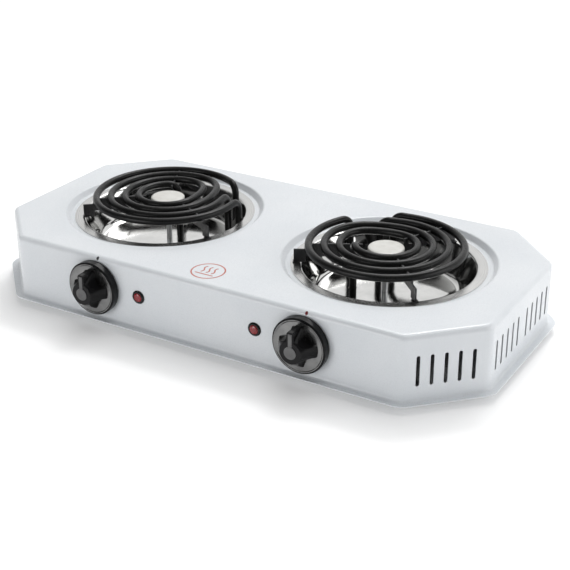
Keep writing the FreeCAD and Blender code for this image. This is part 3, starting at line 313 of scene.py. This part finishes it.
def dress_nodes():
    """Every CAD node gets its finish."""
    dress(white_enamel(), "top_panel")
    dress(plain_steel(), "base_plate", "base_brackets", "base_screws", "foot_screws", "foot_nuts",
          *both("bowl_strap", "centre_stud", "strap_nut", "control_nut", "control_shaft", "knob_clip"))
    dress(element_sheath(), *both("coil_inner", "coil_outer"))
    dress(support_black(), *both("coil_support"))
    dress(medallion_cream(), *both("medallion"))
    dress(ceramic_white(), "terminal_block", *both("coil_bushes"))
    dress(brass_bright(), "control_tabs", "terminal_screws", "earth_tab", *both("coil_pins"))
    dress(knob_black(), *both("knob"))
    dress(insert_grey(), *both("knob_cap"))
    dress(regulator_brown(), *both("control_body"))
    dress(bezel_black(), *both("pilot_bezel"))
    dress(lens_red(), *both("pilot_lens"))
    dress(lamp_glass(), *both("pilot_lamp"))
    dress(rubber_black(), "cord_gland", "foot_front_left", "foot_front_right",
          "foot_rear_left", "foot_rear_right")
    dress(lead_finish("lead_white", (0.62, 0.60, 0.54), (0.74, 0.72, 0.66)), *both("element_leads"))
    dress(lead_finish("lead_brown", (0.07, 0.025, 0.012), (0.11, 0.045, 0.02)), "line_leads")
    dress(lead_finish("lead_blue", (0.02, 0.06, 0.24), (0.035, 0.09, 0.32)), "neutral_leads")
    dress(lead_finish("lead_green", (0.10, 0.28, 0.03), (0.5, 0.5, 0.06)), "earth_lead")
    for name in SIDES:
        dress(polished_bowl(name), "drip_bowl_" + name)
        dress(dial_silver(name), "knob_dial_" + name)


# ---- printed marks ----

def new_piece(name, mesh, material):
    piece = bpy.data.objects.new(name, mesh)
    scene.collection.objects.link(piece)
    mesh.materials.append(material)
    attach(piece, "housing")
    return piece


def stroke(work, points, width, closed=False):
    """A printed line with a flat top and square sides, laid along points on a level face."""
    film = 0.00005
    count = len(points)
    sections = []
    for index, point in enumerate(points):
        before = points[index - 1] if index or closed else point
        after = points[(index + 1) % count] if index < count - 1 or closed else point
        along = (after - before).normalized()
        across = Vector((-along.y, along.x, 0))*(width/2)
        sections.append([work.verts.new(point + across*sign + Vector((0, 0, height)))
                         for sign, height in ((1, 0), (1, film), (-1, film), (-1, 0))])
    pairs = list(zip(sections, sections[1:]))
    if closed:
        pairs.append((sections[-1], sections[0]))
    for first, second in pairs:
        for corner in range(4):
            beside = (corner + 1) % 4
            work.faces.new((first[corner], first[beside], second[beside], second[corner]))
    if not closed:
        work.faces.new(sections[0])
        work.faces.new(reversed(sections[-1]))


def heat_symbol(material):
    """A round printed sign of three rising heat waves over a bar, between the burners at the front."""
    centre = Vector((-0.002, -0.089, PANEL_TOP + 0.00001))
    line = 0.0013
    wave_gap = 0.0052
    wave_sway = 0.0011
    wave_low = -0.0036
    wave_rise = 0.0115
    bar_half = 0.0088
    bar_low = -0.0067
    ring_steps = 64
    wave_steps = 24
    work = bmesh.new()
    ring_radius = 0.0143
    ring = [centre + Vector((math.cos(turn), math.sin(turn), 0))*ring_radius
            for turn in (math.tau*step/ring_steps for step in range(ring_steps))]
    stroke(work, ring, line, closed=True)
    for column in (-1, 0, 1):
        wave = []
        for step in range(wave_steps + 1):
            rise = step/wave_steps
            sway = wave_sway*math.sin(math.tau*rise)
            wave.append(centre + Vector((column*wave_gap + sway, wave_low + wave_rise*rise, 0)))
        stroke(work, wave, line)
    stroke(work, [centre + Vector((x, bar_low, 0)) for x in (-bar_half, bar_half)], line)
    bmesh.ops.recalc_face_normals(work, faces=work.faces)
    mesh = bpy.data.meshes.new("heat_symbol")
    work.to_mesh(mesh)
    work.free()
    return new_piece("heat_symbol", mesh, material)


def index_dot(name, material):
    """An oval mark on the panel's rounded front edge, above its knob."""
    edge_radius = 0.0048
    film = 0.00005
    half_width = 0.00125
    half_length = 0.00175
    corners = 28
    ring_count = 4
    round_y = FRONT_WALL + edge_radius
    round_z = PANEL_TOP - edge_radius
    middle_x = KNOB_AXIS[name].x + 0.0025
    middle = math.radians(38)
    work = bmesh.new()

    def on_edge(across, along):
        turn = middle + along/edge_radius
        reach = edge_radius + film
        return Vector((middle_x + across, round_y - reach*math.cos(turn), round_z + reach*math.sin(turn)))

    centre = work.verts.new(on_edge(0, 0))
    rings = []
    for step in range(1, ring_count + 1):
        share = step/ring_count
        rings.append([work.verts.new(on_edge(half_width*share*math.cos(turn),
                                             half_length*share*math.sin(turn)))
                      for turn in (math.tau*corner/corners for corner in range(corners))])
    for corner in range(corners):
        beside = (corner + 1) % corners
        work.faces.new((centre, rings[0][corner], rings[0][beside]))
        for inner, outer in zip(rings, rings[1:]):
            work.faces.new((inner[corner], outer[corner], outer[beside], inner[beside]))
    bmesh.ops.recalc_face_normals(work, faces=work.faces)
    mesh = bpy.data.meshes.new("index_dot_" + name)
    work.to_mesh(mesh)
    work.free()
    return new_piece("index_dot_" + name, mesh, material)


# ---- camera, floor and light ----

def camera():
    """The photograph's viewpoint: to the front right, looking down by 25 degrees."""
    place = Vector((0.5315, -0.8590, 0.5003))
    target = Vector((0.0152, 0.00575, 0.0311))
    forward = (target - place).normalized()
    right = forward.cross(Vector((0, 0, 1))).normalized()
    up = right.cross(forward)
    roll = math.radians(-0.28)
    side = right*math.cos(roll) + up*math.sin(roll)
    top = up*math.cos(roll) - right*math.sin(roll)
    data = bpy.data.cameras.new("camera")
    data.lens = 78.17
    data.sensor_width = 36
    data.shift_x = 0.0013
    data.shift_y = -0.0252
    eye = bpy.data.objects.new("camera", data)
    eye.matrix_world = Matrix.Translation(place) @ Matrix((side, top, -forward)).transposed().to_4x4()
    scene.collection.objects.link(eye)
    scene.camera = eye


def floor():
    """A plain pale floor, slightly mottled, with a faint glow of its own that keeps it white."""
    work = bmesh.new()
    bmesh.ops.create_grid(work, x_segments=1, y_segments=1, size=6)
    mesh = bpy.data.meshes.new("floor")
    work.to_mesh(mesh)
    work.free()
    ground = bpy.data.objects.new("floor", mesh)
    ground.location.z = -0.0003
    scene.collection.objects.link(ground)
    material = grained("floor_white", (0.90, 0.90, 0.90), (0.93, 0.93, 0.93), 0.6, 0.7, 60, 0.00001,
                       Emission_Color=(1, 1, 1, 1), Emission_Strength=0.2)
    mesh.materials.append(material)


def area_light(name, place, target, width, height, power):
    data = bpy.data.lights.new(name, "AREA")
    data.shape = "RECTANGLE"
    data.size = width
    data.size_y = height
    data.energy = power
    lamp = bpy.data.objects.new(name, data)
    lamp.location = place
    lamp.rotation_euler = (Vector(target) - Vector(place)).to_track_quat("-Z", "Y").to_euler()
    lamp.visible_camera = False
    scene.collection.objects.link(lamp)


def lights():
    """A studio that is bright behind the object, with softboxes above, behind, right and in front."""
    world = bpy.data.worlds.new("studio")
    world.use_nodes = True
    direction = add(world, "ShaderNodeTexCoord")
    parts = add(world, "ShaderNodeSeparateXYZ")
    link(world, direction.outputs["Generated"], parts.inputs[0])
    strength = remap(world, parts.outputs["Y"], 0.12, 1.0, -0.1, 0.7)
    background = world.node_tree.nodes["Background"]
    background.inputs["Color"].default_value = (1, 1, 1, 1)
    link(world, strength, background.inputs["Strength"])
    scene.world = world
    area_light("softbox_top", (0.2, 0, 2.2), (0, 0, 0.05), 1.6, 1.6, 10)
    area_light("softbox_behind", (-0.2, 1.3, 2.0), (0, 0, 0.05), 1.6, 1.2, 18)
    area_light("strip_behind", (-0.2, 1.25, 1.9), (0, 0, 0.05), 0.8, 0.25, 9)
    area_light("softbox_right", (1.8, 0.3, 0.5), (0, 0, 0.05), 1.4, 0.9, 9)
    area_light("fill_front", (-0.6, -2.0, 0.5), (0, 0, 0.03), 1.4, 0.6, 14)


dress_nodes()
heat_symbol(print_red())
index_dot("left", dot_black())
index_dot("right", dot_red())
camera()
floor()
lights()
scene.view_settings.view_transform = "Standard"
